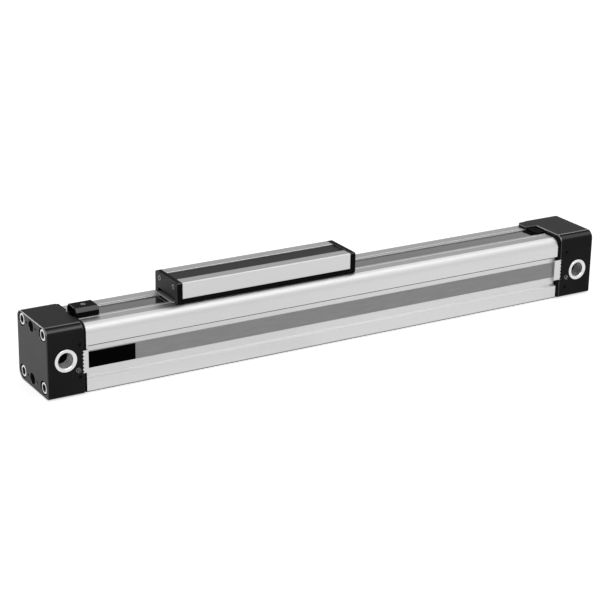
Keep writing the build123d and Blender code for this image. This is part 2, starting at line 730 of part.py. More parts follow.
# End covers, their screws and the wipers
wiper_bottom = outer_band_top + sliding_gap
for end in ends:
    cover_inner = end.carriage_face + end.inward * cover_thickness
    with BuildPart() as end_cover:
        with BuildSketch(across(end.carriage_face, cover_inner)) as face:
            with Locations((0, carriage_bottom)):
                Rectangle(carriage_width + 2 * cover_stand, carriage_top + cover_stand - carriage_bottom,
                          align=(Align.CENTER, Align.MIN))
            fillet(face.vertices().group_by(Axis.Y)[-1], cover_corner_radius)
            with Locations((0, carriage_bottom)):
                Rectangle(wiper_width + 2 * fit_gap, saddle_bottom - carriage_bottom + fit_gap,
                          align=(Align.CENTER, Align.MIN), mode=Mode.SUBTRACT)
        extrude(amount=cover_thickness)
        with BuildSketch(across(end.carriage_face, cover_inner)):
            with Locations(*cover_screw_places):
                Circle(cover_screw_radius + screw_gap)
        extrude(amount=cover_thickness, mode=Mode.SUBTRACT)
        head_floor = end.carriage_face + end.inward * cover_screw_head_length
        with BuildSketch(across(end.carriage_face, head_floor)):
            with Locations(*cover_screw_places):
                Circle(cover_screw_head_radius + screw_gap)
        extrude(amount=cover_screw_head_length, mode=Mode.SUBTRACT)
    save(end_cover.part, f"{end.name}_carriage_cover")

    screw_tip = head_floor + end.inward * cover_screw_length
    with BuildPart() as cover_screws:
        with BuildSketch(across(end.carriage_face, head_floor)):
            with Locations(*cover_screw_places):
                Circle(cover_screw_head_radius)
        extrude(amount=cover_screw_head_length)
        with BuildSketch(across(head_floor, screw_tip)):
            with Locations(*cover_screw_places):
                Circle(cover_screw_radius)
        extrude(amount=cover_screw_length)
        with BuildSketch(across(end.carriage_face, head_floor)):
            with Locations(*cover_screw_places):
                RegularPolygon(cover_screw_head_radius / 2, 6)
        extrude(amount=cover_screw_head_length / 2, mode=Mode.SUBTRACT)
    save(cover_screws.part, f"{end.name}_cover_screws")

    lip_tip = end.carriage_face - end.inward * wiper_reach
    with BuildPart() as wiper:
        with BuildSketch(Plane.XZ):
            with BuildLine():
                Polyline((lip_tip, carriage_bottom),
                         (lip_tip, carriage_bottom + wiper_tip_height),
                         (end.carriage_face, carriage_bottom + wiper_lip_height),
                         (end.carriage_face, saddle_bottom),
                         (cover_inner, saddle_bottom),
                         (cover_inner, carriage_bottom), close=True)
            make_face()
        extrude(amount=wiper_width / 2, both=True)
        with BuildSketch(across(lip_tip, cover_inner)):
            with Locations((0, wiper_bottom)):
                Rectangle(recess_width - 2 * wide_gap, saddle_bottom - wiper_bottom,
                          align=(Align.CENTER, Align.MIN))
        extrude(amount=span(end.carriage_face, cover_inner), mode=Mode.ADD)
    save(wiper.part, f"{end.name}_wiper")

# Yoke: beam in the bore, web through the slot, flange with walls under the saddle
flange_bottom = barrel_height + 3 * sliding_gap
flange_top = flange_bottom + yoke_flange_thickness
yoke_web_width = slot_width - 2 * wide_gap
yoke_channel_width = inner_band_width + 3 * wide_gap
tunnel_floor = inner_band_bottom - inner_band_dip - end_clearance
with BuildPart() as yoke:
    with BuildSketch(Plane.YZ.offset(carriage_x - bridge_half)):
        with Locations((0, bore_height)):
            Circle(piston_radius + fit_gap)
    extrude(amount=2 * bridge_half)
    with BuildSketch(Plane.YZ.offset(carriage_x - bridge_half)):
        with Locations((0, tunnel_floor)):
            Rectangle(yoke_channel_width, yoke_tunnel_height, align=(Align.CENTER, Align.MIN))
    extrude(amount=2 * bridge_half, mode=Mode.SUBTRACT)
    for open_start in (carriage_x - bridge_half, carriage_x + yoke_web_length / 2):
        with BuildSketch(Plane.YZ.offset(open_start)):
            with Locations((0, tunnel_floor)):
                Rectangle(yoke_channel_width, bore_diameter, align=(Align.CENTER, Align.MIN))
        extrude(amount=bridge_half - yoke_web_length / 2, mode=Mode.SUBTRACT)
    with BuildSketch(Plane.YZ.offset(carriage_x - yoke_web_length / 2)):
        with Locations((0, tunnel_floor + yoke_tunnel_height)):
            Rectangle(yoke_web_width, flange_bottom - tunnel_floor - yoke_tunnel_height,
                      align=(Align.CENTER, Align.MIN))
    extrude(amount=yoke_web_length)
    with BuildSketch(Plane.YZ.offset(carriage_x - yoke_flange_length / 2)):
        with Locations((0, flange_bottom)):
            Rectangle(2 * flange_half_width, saddle_ceiling - flange_bottom,
                      align=(Align.CENTER, Align.MIN))
        with Locations((0, flange_top)):
            Rectangle(outer_band_width + 2 * wide_gap, saddle_ceiling - flange_top,
                      align=(Align.CENTER, Align.MIN), mode=Mode.SUBTRACT)
    extrude(amount=yoke_flange_length)
    with BuildSketch(Plane.XY.offset(flange_bottom)):
        with Locations(*yoke_screw_places):
            Circle(yoke_screw_radius + screw_gap)
    extrude(amount=saddle_ceiling - flange_bottom, mode=Mode.SUBTRACT)
    with BuildSketch(Plane.XY.offset(flange_bottom)):
        with Locations(*yoke_screw_places):
            Circle(yoke_screw_head_radius + screw_gap)
    extrude(amount=yoke_screw_head_length, mode=Mode.SUBTRACT)
    for end in ends:
        spigot_root = carriage_x - end.inward * bridge_half
        spigot_end = spigot_root - end.inward * yoke_spigot_length
        with BuildSketch(across(spigot_root, spigot_end)):
            with Locations((0, bore_height)):
                Circle(yoke_spigot_radius)
        extrude(amount=yoke_spigot_length)
save(yoke.part, "piston_yoke")

# Four screws that hold the yoke's flange to the saddle, put in from below
with BuildPart() as yoke_screws:
    with BuildSketch(Plane.XY.offset(flange_bottom)):
        with Locations(*yoke_screw_places):
            Circle(yoke_screw_head_radius)
    extrude(amount=yoke_screw_head_length)
    with BuildSketch(Plane.XY.offset(flange_bottom + yoke_screw_head_length)):
        with Locations(*yoke_screw_places):
            Circle(yoke_screw_radius)
    extrude(amount=saddle_ceiling + yoke_screw_grip - flange_bottom - yoke_screw_head_length)
save(yoke_screws.part, "yoke_screws")


def above_flat():
    """What is cut off the top of a round piece of the piston train, where the inner band passes."""
    with Locations((0, piston_flat)):
        Rectangle(bore_diameter, bore_radius, align=(Align.CENTER, Align.MIN))


def ring_piece(name, x_one, x_two, inner, outer, flat=True):
    """A plain ring on the bore's axis between two X places."""
    with BuildPart() as ring:
        with BuildSketch(across(x_one, x_two)):
            with Locations((0, bore_height)):
                Circle(outer)
                Circle(inner, mode=Mode.SUBTRACT)
        extrude(amount=span(x_one, x_two))
        if flat:
            with BuildSketch(across(x_one, x_two)):
                above_flat()
            extrude(amount=span(x_one, x_two), mode=Mode.SUBTRACT)
    save(ring.part, name)


# Piston train at each end of the yoke
seal_outer = bore_radius - sliding_gap
for end in ends:
    face = end.train_end
    back = face + end.inward * piston_length
    magnet_back = back + end.inward * magnet_length
    guide = (back - end.inward * guide_ring_offset,
             back - end.inward * (guide_ring_offset + guide_ring_width))
    seal = (back - end.inward * lip_seal_offset,
            back - end.inward * (lip_seal_offset + lip_seal_width))
    cushion = (face + end.inward * cushion_seal_offset,
               face + end.inward * (cushion_seal_offset + cushion_seal_width))
    spigot_hole = back - end.inward * (yoke_spigot_length - magnet_length + sliding_gap)

    with BuildPart() as piston:
        with BuildSketch(across(face, back)):
            with Locations((0, bore_height)):
                Circle(piston_radius)
        extrude(amount=piston_length)
        for (low, high), depth in ((guide, guide_ring_depth), (seal, lip_seal_depth)):
            slack = end.inward * fit_gap
            with BuildSketch(across(low + slack, high - slack)):
                with Locations((0, bore_height)):
                    Circle(bore_radius)
                    Circle(piston_radius - depth, mode=Mode.SUBTRACT)
            extrude(amount=span(low + slack, high - slack), mode=Mode.SUBTRACT)
        with BuildSketch(across(face, face + end.inward * cushion_bore_depth)):
            with Locations((0, bore_height)):
                Circle(cushion_bore_radius)
        extrude(amount=cushion_bore_depth, mode=Mode.SUBTRACT)
        slack = end.inward * fit_gap
        with BuildSketch(across(cushion[0] - slack, cushion[1] + slack)):
            with Locations((0, bore_height)):
                Circle(cushion_bore_radius + cushion_seal_depth)
        extrude(amount=span(cushion[0] - slack, cushion[1] + slack), mode=Mode.SUBTRACT)
        with BuildSketch(across(back, spigot_hole)):
            with Locations((0, bore_height)):
                Circle(yoke_spigot_radius + fit_gap)
        extrude(amount=span(back, spigot_hole), mode=Mode.SUBTRACT)
        with BuildSketch(across(face, back)):
            above_flat()
        extrude(amount=piston_length, mode=Mode.SUBTRACT)
    save(piston.part, f"{end.name}_piston")

    ring_piece(f"{end.name}_magnet_ring", back, magnet_back, yoke_spigot_radius + fit_gap, piston_radius - fit_gap)
    ring_piece(f"{end.name}_guide_ring", guide[0], guide[1],
               piston_radius - guide_ring_depth + fit_gap, seal_outer)
    ring_piece(f"{end.name}_cushion_seal", cushion[0], cushion[1], cushion_spigot_radius + sliding_gap,
               cushion_bore_radius + cushion_seal_depth - fit_gap, flat=False)

    # Lip seal: a ring whose lip opens towards the chamber it seals
    seal_inner = piston_radius - lip_seal_depth + fit_gap
    heel, mouth = seal
    notch = heel + (mouth - heel) / 2
    with BuildPart() as lip_seal:
        with BuildSketch(Plane.XZ):
            with BuildLine():
                Polyline((heel, bore_height + seal_inner), (heel, bore_height + seal_outer - fit_gap),
                         (mouth, bore_height + seal_outer),
                         (mouth, bore_height + seal_outer - 0.6),
                         (notch, bore_height + (seal_inner + seal_outer) / 2),
                         (mouth, bore_height + seal_inner + 0.6),
                         (mouth, bore_height + seal_inner), close=True)
            make_face()
        revolve(axis=bore_axis)
        with BuildSketch(across(heel, mouth)):
            above_flat()
        extrude(amount=lip_seal_width, mode=Mode.SUBTRACT)
    save(lip_seal.part, f"{end.name}_lip_seal")
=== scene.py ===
import math

import bpy
from mathutils import Euler, Matrix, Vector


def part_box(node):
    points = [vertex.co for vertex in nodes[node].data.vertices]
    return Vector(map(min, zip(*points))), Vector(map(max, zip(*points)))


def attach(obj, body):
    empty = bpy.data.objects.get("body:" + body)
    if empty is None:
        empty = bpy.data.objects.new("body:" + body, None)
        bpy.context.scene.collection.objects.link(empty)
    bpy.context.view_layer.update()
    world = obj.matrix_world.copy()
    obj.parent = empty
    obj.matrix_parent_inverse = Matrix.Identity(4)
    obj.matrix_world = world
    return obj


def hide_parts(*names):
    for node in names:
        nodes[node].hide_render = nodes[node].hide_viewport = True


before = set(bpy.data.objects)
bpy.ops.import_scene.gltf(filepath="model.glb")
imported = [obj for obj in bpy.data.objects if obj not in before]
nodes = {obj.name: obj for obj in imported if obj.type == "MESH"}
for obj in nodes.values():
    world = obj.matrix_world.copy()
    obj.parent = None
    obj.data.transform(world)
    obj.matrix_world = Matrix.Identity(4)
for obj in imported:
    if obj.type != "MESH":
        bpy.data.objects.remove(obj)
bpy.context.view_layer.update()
MM = 0.001


# Barrel
# One aluminium extrusion, pushed through a die, so that fine lines run along it. It is shot with fine beads
# and anodised silver, which leaves it satin. A fine line is cut under the upper lip of each side groove.
# Its upward faces are painted darker as shade, the lower flanks of its grooves lighter as a painted
# highlight, and its downward bevels and the cut lines dark as painted shade.

class Shade:
    """A socket in a material. Arithmetic on it adds Math nodes, and node() adds any other node."""

    def __init__(self, tree, socket=None):
        self.tree = tree
        self.socket = socket

    def node(self, kind, settings, sockets, output=0):
        """Adds a node with its settings, and values or links for its sockets, and gives one output."""
        made = self.tree.nodes.new("ShaderNode" + kind)
        for name, value in settings.items():
            if name == "stops":
                ramp = made.color_ramp.elements
                while len(ramp) < len(value):
                    ramp.new(1.0)
                for stop, (position, tone) in zip(ramp, value):
                    stop.position = position
                    stop.color = (tone, tone, tone, 1)
            else:
                setattr(made, name, value)
        for name, value in sockets.items():
            if isinstance(value, Shade):
                self.tree.links.new(value.socket, made.inputs[name])
            else:
                made.inputs[name].default_value = value
        return Shade(self.tree, made.outputs[output])

    def math(self, operation, other=0.0):
        return self.node("Math", {"operation": operation}, {0: self, 1: other})

    def __add__(self, other):
        return self.math("ADD", other)

    def __mul__(self, other):
        return self.math("MULTIPLY", other)

    __radd__ = __add__
    __rmul__ = __mul__

    def noise(self, scale, detail=2.0, stretch=(1, 1, 1), roughness=0.5):
        """Cloudy values round a half, at so many spots to the metre, on the piece's own coordinates."""
        place = self.node("TexCoord", {}, {}, "Object")
        place = self.node("Mapping", {}, {"Vector": place, "Scale": stretch})
        return self.node("TexNoise", {}, {"Vector": place, "Scale": scale, "Detail": detail,
                                          "Roughness": roughness})

    def between(self, first, second):
        """A colour between two by this value, each a grey tone or its red, green and blue."""
        first, second = ((tone,) * 3 if isinstance(tone, float) else tone for tone in (first, second))
        return self.node("Mix", {"data_type": "RGBA"}, {0: self, 6: (*first, 1), 7: (*second, 1)}, 2)

    def seen(self):
        """1 for what the camera sees, also mirrored or through glass, and 0 for light on a surface."""
        camera = self.node("LightPath", {}, {}, "Is Camera Ray")
        glossy = self.node("LightPath", {}, {}, "Is Glossy Ray")
        clear = self.node("LightPath", {}, {}, "Is Transmission Ray")
        return camera.math("MAXIMUM", glossy).math("MAXIMUM", clear)

    def edges(self):
        """1 on chamfers, on the middle of a rounded edge and where a top starts to round, else 0."""
        facing = self.node("TexCoord", {}, {}, "Normal")
        x, y, z = (self.node("SeparateXYZ", {}, {0: facing}, axis).math("ABSOLUTE") for axis in "XYZ")
        level = x.math("MAXIMUM", y).math("MAXIMUM", z)
        chamfer = level.ramp((0.80, 1), (0.88, 0))
        return chamfer.math("MAXIMUM", z.ramp((0.965, 0), (0.975, 1), (0.998, 1), (0.9995, 0)))

    def ramp(self, *stops):
        """A grey value that changes along this value by the stops given, each a place and a tone."""
        return self.node("ValToRGB", {"stops": stops}, {"Fac": self})

    def bump(self, strength, distance):
        """A normal that follows this height."""
        return self.node("Bump", {}, {"Height": self, "Strength": strength, "Distance": distance}, "Normal")


def new_finish(name, **values):
    """A material with plain values on its shader, and the shade that what varies over it starts from."""
    made = bpy.data.materials.new(name)
    made.use_nodes = True
    surface = made.node_tree.nodes["Principled BSDF"]
    for socket, value in values.items():
        surface.inputs[socket.replace("_", " ")].default_value = value
    return made, Shade(made.node_tree)


def vary(material, **shades):
    """Lets shades feed the shader's sockets."""
    surface = material.node_tree.nodes["Principled BSDF"]
    for socket, shade in shades.items():
        material.node_tree.links.new(shade.socket, surface.inputs[socket.replace("_", " ")])
    return material


def dress(material, *names):
    """Gives kept pieces of the frame their finish."""
    for name in names:
        for place in nodes[name].material_slots:
            place.material = material


def aluminium(name, dark, light):
    """Satin anodised aluminium with die lines along X."""
    finish, shade = new_finish(name, Metallic=1.0)
    die_lines = shade.noise(1600, 3, (0.004, 1, 1), 0.7)
    beads = shade.noise(3800, 2)
    clouds = shade.noise(14, 2, (0.4, 1, 1))
    return vary(finish,
                Base_Color=(clouds * 0.5 + die_lines * 0.5).between(dark, light),
                Roughness=0.34 + 0.10 * clouds + 0.10 * die_lines,
                Normal=(die_lines * 0.6 + beads * 0.4).bump(0.16, 0.03 * MM))


anodised = aluminium("satin_anodised_aluminium", 0.56, 0.65)
# A darker copy for upward faces: painted shade on the tops.
painted_shade_top = aluminium("painted_shade_top_aluminium", 0.23, 0.29)


def deselect():
    bpy.ops.object.select_all(action="DESELECT")


def only(piece):
    """Makes one piece the selected and active one."""
    deselect()
    piece.select_set(True)
    bpy.context.view_layer.objects.active = piece
    return piece


def apply_modifier(piece, kind, **settings):
    """Adds one modifier to a piece and applies it."""
    only(piece)
    bpy.ops.object.modifier_add(type=kind)
    modifier = piece.modifiers[-1]
    for name, value in settings.items():
        setattr(modifier, name, value)
    bpy.ops.object.modifier_apply(modifier=modifier.name)


sharp_angle = math.radians(35)
smooth_angle = math.radians(32)
level_angle = math.radians(0.5)
weld_distance = 0.002 * MM


def soften(piece, width, segments=2):
    """Rounds a piece's sharp edges."""
    apply_modifier(piece, "BEVEL", width=width, segments=segments, limit_method="ANGLE",
                   angle_limit=sharp_angle, harden_normals=False, use_clamp_overlap=False)


def fit(piece, name, body, finish, slot, *replaced):
    """Names a finished piece, gives it its finish and lets it ride on its body."""
    only(piece)
    bpy.ops.object.transform_apply(location=True, rotation=True, scale=True)
    bpy.ops.object.shade_smooth_by_angle(angle=smooth_angle)
    apply_modifier(piece, "WEIGHTED_NORMAL", keep_sharp=True)
    piece.name = name
    piece.data.name = name
    piece.data.materials.clear()
    piece.data.materials.append(finish)
    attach(piece, body)
    if replaced:
        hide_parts(*replaced)
    return piece


def rounded(node, name, body, finish, slot, width):
    """A merged copy of one of the frame's pieces, with its sharp edges rounded, in the piece's place."""
    only(nodes[node])
    bpy.ops.object.duplicate()
    made = bpy.context.object
    bpy.ops.object.mode_set(mode="EDIT")
    bpy.ops.mesh.select_all(action="SELECT")
    bpy.ops.mesh.remove_doubles(threshold=weld_distance)
    bpy.ops.mesh.dissolve_limited(angle_limit=level_angle)
    bpy.ops.object.mode_set(mode="OBJECT")
    soften(made, width)
    return fit(made, name, body, finish, slot, node)


def refinish(piece, finish, chosen):
    """Gives the faces that a test picks another finish."""
    piece.data.materials.append(finish)
    for face in piece.data.polygons:
        if chosen(face):
            face.material_index = len(piece.data.materials) - 1


def take_away(piece, cutter):
    """Cuts one shape out of a piece and deletes the cutter."""
    apply_modifier(piece, "BOOLEAN", object=cutter, operation="DIFFERENCE", solver="EXACT")
    bpy.data.objects.remove(cutter)


def rod(centre, direction, radius, length, segments=48):
    """A round bar along X or Y, with its middle at the centre."""
    deselect()
    turn = {"X": (0, math.pi / 2, 0), "Y": (math.pi / 2, 0, 0)}[direction]
    bpy.ops.mesh.primitive_cylinder_add(vertices=segments, radius=radius, depth=length,
                                        location=centre, rotation=turn)
    made = bpy.context.object
    bpy.ops.object.transform_apply(location=True, rotation=True, scale=True)
    return made


flat = 0.99
barrel_edge = 0.14 * MM
barrel = rounded("barrel", "barrel_extrusion", "cylinder", anodised, "silver_anodised", barrel_edge)
barrel_low, barrel_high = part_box("barrel")
groove_depth = 2 * MM
groove_foot = 12 * MM
line_height = 26.85 * MM
line_radius = 0.16 * MM
for way in (-1, 1):
    groove_floor = way * (barrel_high.y - groove_depth)
    take_away(barrel, rod(((barrel_low.x + barrel_high.x) / 2, groove_floor, line_height), "X", line_radius,
                          2 * barrel_high.x, 4))
# Upward faces take the darker copy: painted shade.
refinish(barrel, painted_shade_top, lambda face: face.normal.z > flat)
# The lower flanks of the grooves take a lighter copy: painted highlight.
highlight_flank = aluminium("painted_highlight_flank_aluminium", 0.80, 0.90)
refinish(barrel, highlight_flank, lambda face: 0.85 < face.normal.z < 0.95 and face.center.z < groove_foot)
# Downward bevels and the faces of the cut line take a dark copy: painted shade.
shade_edge = aluminium("painted_shade_edge_aluminium", 0.12, 0.18)
refinish(barrel, shade_edge, lambda face: -0.95 < face.normal.z < -0.25 or (
    abs(face.center.z - line_height) < line_radius and abs(face.normal.z) > 0.25))


# Groove strips
# A grey plastic strip is pressed into the groove on each side. The near one carries a plain black plate,
# where the real one has its label.

strip_finish, shade = new_finish("grey_strip", Specular_IOR_Level=0.2)
strip_grain = shade.noise(900, 3, (0.1, 1, 1))
vary(strip_finish,
     Base_Color=strip_grain.between(0.32, 0.42),
     Roughness=0.42 + 0.16 * strip_grain,
     Normal=strip_grain.bump(0.12, 0.02 * MM))
dress(strip_finish, "near_groove_strip", "far_groove_strip")


def block(low, high):
    """A box between two corners, in metres."""
    deselect()
    middle = [(a + b) / 2 for a, b in zip(low, high)]
    bpy.ops.mesh.primitive_cube_add(size=1, location=middle)
    made = bpy.context.object
    made.scale = [b - a for a, b in zip(low, high)]
    bpy.ops.object.transform_apply(location=True, rotation=True, scale=True)
    return made


plate_finish, shade = new_finish("gloss_black_plate", Base_Color=(0.001, 0.001, 0.001, 1),
                                 Specular_IOR_Level=0.01)
smears = shade.noise(60, 3)
vary(plate_finish, Roughness=0.16 + 0.12 * smears, Normal=shade.noise(400, 2).bump(0.05, 0.02 * MM))
strip_low, strip_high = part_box("near_groove_strip")
plate_from_end = 0.1 * MM
plate_length = 28.6 * MM
plate_thickness = 0.25 * MM
plate_margin = 0.05 * MM
slight_edge = 0.08 * MM
plate = block((strip_low.x + plate_from_end, strip_low.y - plate_thickness, strip_low.z + plate_margin),
              (strip_low.x + plate_from_end + plate_length, strip_low.y, strip_high.z - plate_margin))
soften(plate, slight_edge)
fit(plate, "name_plate_blank", "cylinder", plate_finish, "grey_strip")


# Sealing bands
# Two spring steel bands close the slot, one outside and one inside, clamped at both caps. The real ones bend
# apart inside the carriage, where the yoke stands. Here they run straight, and the yoke crosses them.

band_finish, shade = new_finish("painted_dark_reflection_band_steel", Metallic=1.0)
rolling = shade.noise(2600, 3, (0.003, 1, 1), 0.7)
handling = shade.noise(35, 3)
# The steel's base colour is very dark: a painted dark reflection.
vary(band_finish,
     Base_Color=rolling.between(0.055, 0.09),
     Roughness=0.08 + 0.05 * rolling + 0.04 * handling,
     Normal=rolling.bump(0.04, 0.02 * MM))


def straight_band(node, name, thickness, floor, crown):
    """A full length band: a flat strip whose middle is crowned a little across its width."""
    low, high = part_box(node)
    band = block((low.x, low.y, floor), (high.x, high.y, floor + thickness))
    bpy.ops.object.mode_set(mode="EDIT")
    half = (high.y - low.y) / 2
    for share in (-0.75, -0.5, -0.25, 0, 0.25, 0.5, 0.75):
        bpy.ops.mesh.select_all(action="SELECT")
        bpy.ops.mesh.bisect(plane_co=(0, share * half, 0), plane_no=(0, 1, 0))
    bpy.ops.object.mode_set(mode="OBJECT")
    for vertex in band.data.vertices:
        vertex.co.z += crown * (1 - (vertex.co.y / half) ** 2)
    return fit(band, name, "cylinder", band_finish, "band_steel", node)


outer_low, outer_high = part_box("outer_sealing_band")
inner_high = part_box("inner_sealing_band")[1]
outer_thickness = 0.4 * MM
outer_crown = 0.02 * MM
inner_thickness = 0.5 * MM
straight_band("outer_sealing_band", "outer_band", outer_thickness, outer_low.z, outer_crown)
straight_band("inner_sealing_band", "inner_band", inner_thickness, inner_high.z - inner_thickness, 0)


# End caps
# Die cast blocks, painted black with a fine satin texture. Each has a moulded collar gasket behind it.

cap_paint, shade = new_finish("black_cap_paint", Specular_IOR_Level=0.014, Coat_Roughness=0.16)
peel = shade.noise(1900, 2)
dust = shade.noise(40, 4)
vary(cap_paint,
     Base_Color=dust.between(0.015, 0.024),
     Roughness=0.24 + 0.12 * dust,
     Coat_Weight=shade.edges(),
     Normal=peel.bump(0.10, 0.03 * MM))


def sheen_black(name, dark, light):
    """A black face painted greyer, as a painted sheen of the light that falls on it, with marks along Z."""
    finish, shade = new_finish(name, Specular_IOR_Level=0.05)
    marks = shade.noise(500, 3, (1, 1, 0.12), 0.6)
    fade = shade.noise(45, 2, (1, 1, 0.5))
    return vary(finish,
                Base_Color=(marks * 0.5 + fade * 0.5).between(dark, light),
                Roughness=0.34 + 0.14 * marks,
                Normal=marks.bump(0.10, 0.02 * MM))


sheen_end_face = sheen_black("painted_sheen_end_face", 0.05, 0.12)
# A lighter bare metal for edges: painted highlight.
highlight_edge, shade = new_finish("painted_highlight_edge", Metallic=1.0)
highlight_grain = shade.noise(500, 4)
vary(highlight_edge,
     Base_Color=highlight_grain.between(0.16, 0.34),
     Roughness=0.26 + 0.12 * highlight_grain,
     Normal=highlight_grain.bump(0.10, 0.02 * MM))
cap_edge = 0.12 * MM
face_reach = 0.3 * MM
hood_length = 8 * MM
hood_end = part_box("right_end_cap")[0].x + hood_length
for side in ("left", "right"):
    cap = rounded(side + "_end_cap", side + "_cap_casting", "cylinder", cap_paint, "black_cast", cap_edge)
    low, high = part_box(side + "_end_cap")
    outer = low.x if side == "left" else high.x
    # The outer end face is painted greyer: painted sheen.
    refinish(cap, sheen_end_face, lambda face: (
        abs(face.normal.x) > flat and abs(face.center.x - outer) < face_reach))
    # Upward chamfers of the end faces, and the near top edge of the right cap's hood, take it: painted
    # highlight.
    refinish(cap, highlight_edge, lambda face: face.normal.z > 0.3 and (abs(face.normal.x) > 0.3 or (
        face.normal.y < -0.3 and face.center.x < hood_end and side == "right")))

gasket_rubber, shade = new_finish("black_gasket_rubber", Specular_IOR_Level=0.03)
rubber_grain = shade.noise(2500, 2)
vary(gasket_rubber,
     Base_Color=rubber_grain.between(0.005, 0.010),
     Roughness=0.62 + 0.12 * rubber_grain,
     Normal=rubber_grain.bump(0.15, 0.03 * MM))
dress(gasket_rubber, "left_cap_collar", "right_cap_collar", "left_bore_seal", "right_bore_seal",
      "left_lip_seal", "right_lip_seal", "left_cushion_seal", "right_cushion_seal")


# Side tabs
# Light metal tabs that sit in a notch of each cap, with a row of small notches along their outer edge.

notch_count = 6
notch_radius = 0.6 * MM
tab_edge = 0.1 * MM
for side in ("left", "right"):
    low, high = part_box(side + "_side_tabs")
    edge = low.x if side == "left" else high.x
    tabs = rounded(side + "_side_tabs", side + "_notched_tabs", "cylinder", anodised, "silver_anodised",
                   tab_edge)
    for index in range(notch_count):
        height = low.z + (index + 0.5) * (high.z - low.z) / notch_count
        take_away(tabs, rod((edge, 0, height), "Y", notch_radius, 3 * high.y, 12))


# Cap screws
# Four zinc plated socket screws hold each cap. Their heads sink into counterbores and are threaded inside,
# to take a foot or a flange.

zinc, shade = new_finish("bright_zinc_steel", Metallic=1.0)
turning = shade.noise(2200, 2)
stains = shade.noise(160, 3)
vary(zinc,
     Base_Color=stains.between(0.60, 0.78),
     Roughness=0.24 + 0.12 * stains,
     Normal=turning.bump(0.10, 0.02 * MM))


def shaded_steel(name, dark, light):
    """Dark steel of uneven tone, for screws, and as painted shade inside sockets and bores."""
    finish, shade = new_finish(name, Metallic=1.0)
    steel_cloud = shade.noise(700, 3)
    return vary(finish,
                Base_Color=steel_cloud.between(dark, light),
                Roughness=0.22 + 0.12 * steel_cloud,
                Normal=steel_cloud.bump(0.06, 0.02 * MM))


socket_shade_steel = shaded_steel("painted_shade_socket_steel", 0.02, 0.05)


def join(first, *others):
    """Makes one object of several."""
    only(first)
    for other in others:
        other.select_set(True)
    bpy.ops.object.join()
    return first


def thread(centre, direction, radius, pitch, turns, steps=40):
    """An inside thread: one triangular ridge that winds along a bore wall of this radius."""
    deselect()
    tooth = 0.52 * pitch
    bpy.ops.mesh.primitive_circle_add(vertices=3, radius=tooth, rotation=(math.pi / 2, -math.pi / 2, 0),
                                      location=(radius + 0.1 * tooth, 0, 0))
    ridge = bpy.context.object
    bpy.ops.object.transform_apply(location=True, rotation=True, scale=True)
    apply_modifier(ridge, "SCREW", axis="Z", steps=steps, render_steps=steps, screw_offset=pitch,
                   iterations=turns)
    bpy.ops.object.mode_set(mode="EDIT")
    bpy.ops.mesh.select_all(action="SELECT")
    bpy.ops.mesh.remove_doubles(threshold=1e-7)
    bpy.ops.mesh.fill_holes(sides=0)
    bpy.ops.mesh.select_all(action="SELECT")
    bpy.ops.mesh.normals_make_consistent(inside=False)
    bpy.ops.object.mode_set(mode="OBJECT")
    ridge.location = centre
    ridge.rotation_euler = {"X": (0, math.pi / 2, 0), "Y": (-math.pi / 2, 0, 0)}[direction]
    bpy.ops.object.transform_apply(location=True, rotation=True, scale=True)
    return ridge


def within(piece, face, axis, centres, radius):
    """Whether a whole face lies within a radius of one of the centres, seen along X (0), Y (1) or Z (2)."""
    first, second = (index for index in range(3) if index != axis)
    corners = [piece.data.vertices[index].co for index in face.vertices]
    return any(all(math.dist((corner[first], corner[second]), centre) < radius for corner in corners)
               for centre in centres)


head_radius = 3.3 * MM
head_length = 5 * MM
socket_radius = 2.15 * MM
socket_depth = 4 * MM
shank_radius = 2.5 * MM
socket_pitch = 0.8 * MM
socket_turns = 4
thread_start = 0.5 * MM
head_edge = 0.12 * MM
thread_root = 0.35 * MM
for side, inward in (("left", 1), ("right", -1)):
    low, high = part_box(side + "_cap_screws")
    face = low.x if inward > 0 else high.x
    tip = high.x if inward > 0 else low.x
    screws = []
    seats = []
    for y in (low.y + head_radius, high.y - head_radius):
        for z in (low.z + head_radius, high.z - head_radius):
            seats.append((y, z))
            head = rod((face + inward * head_length / 2, y, z), "X", head_radius, head_length, 64)
            take_away(head, rod((face, y, z), "X", socket_radius, 2 * socket_depth))
            soften(head, head_edge, 3)
            under = face + inward * head_length
            shank = rod(((under + tip) / 2, y, z), "X", shank_radius, abs(tip - under))
            start = face + thread_start if inward > 0 else face - socket_depth
            wind = thread((start, y, z), "X", socket_radius, socket_pitch, socket_turns)
            screws.append(join(head, shank, wind))
    screws = fit(join(*screws), side + "_socket_screws", "cylinder", zinc, "zinc_steel",
                 side + "_cap_screws")
    # Socket walls and threads take a near black steel: painted shade inside the sockets.
    refinish(screws, socket_shade_steel, lambda face: within(screws, face, 0, seats, socket_radius + thread_root))


# Ports
# Threaded rings of bright steel, pressed into the near side of each cap. The thread takes the air fitting.

port_bore = shaded_steel("shaded_bore_and_screw_steel", 0.10, 0.20)
port_pitch = 0.907 * MM
port_radius = 4.28 * MM
port_turns = 8
port_steps = 56
mouth_depth = 1.1 * MM
bore_margin = 0.3 * MM
ring_edge = 0.12 * MM
for side in ("left", "right"):
    low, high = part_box(side + "_port_ring")
    mouth = (low.x + high.x) / 2, low.y + mouth_depth, (low.z + high.z) / 2
    ring = rounded(side + "_port_ring", side + "_port_bush", "cylinder", zinc, "zinc_steel", ring_edge)
    axis = [(mouth[0], mouth[2])]
    # The bore and its thread take dark steel: painted shade inside the hole.
    refinish(ring, port_bore, lambda face: within(ring, face, 1, axis, port_radius + bore_margin))
    wind = thread(mouth, "Y", port_radius, port_pitch, port_turns, port_steps)
    fit(wind, side + "_port_thread", "cylinder", port_bore, "zinc_steel")


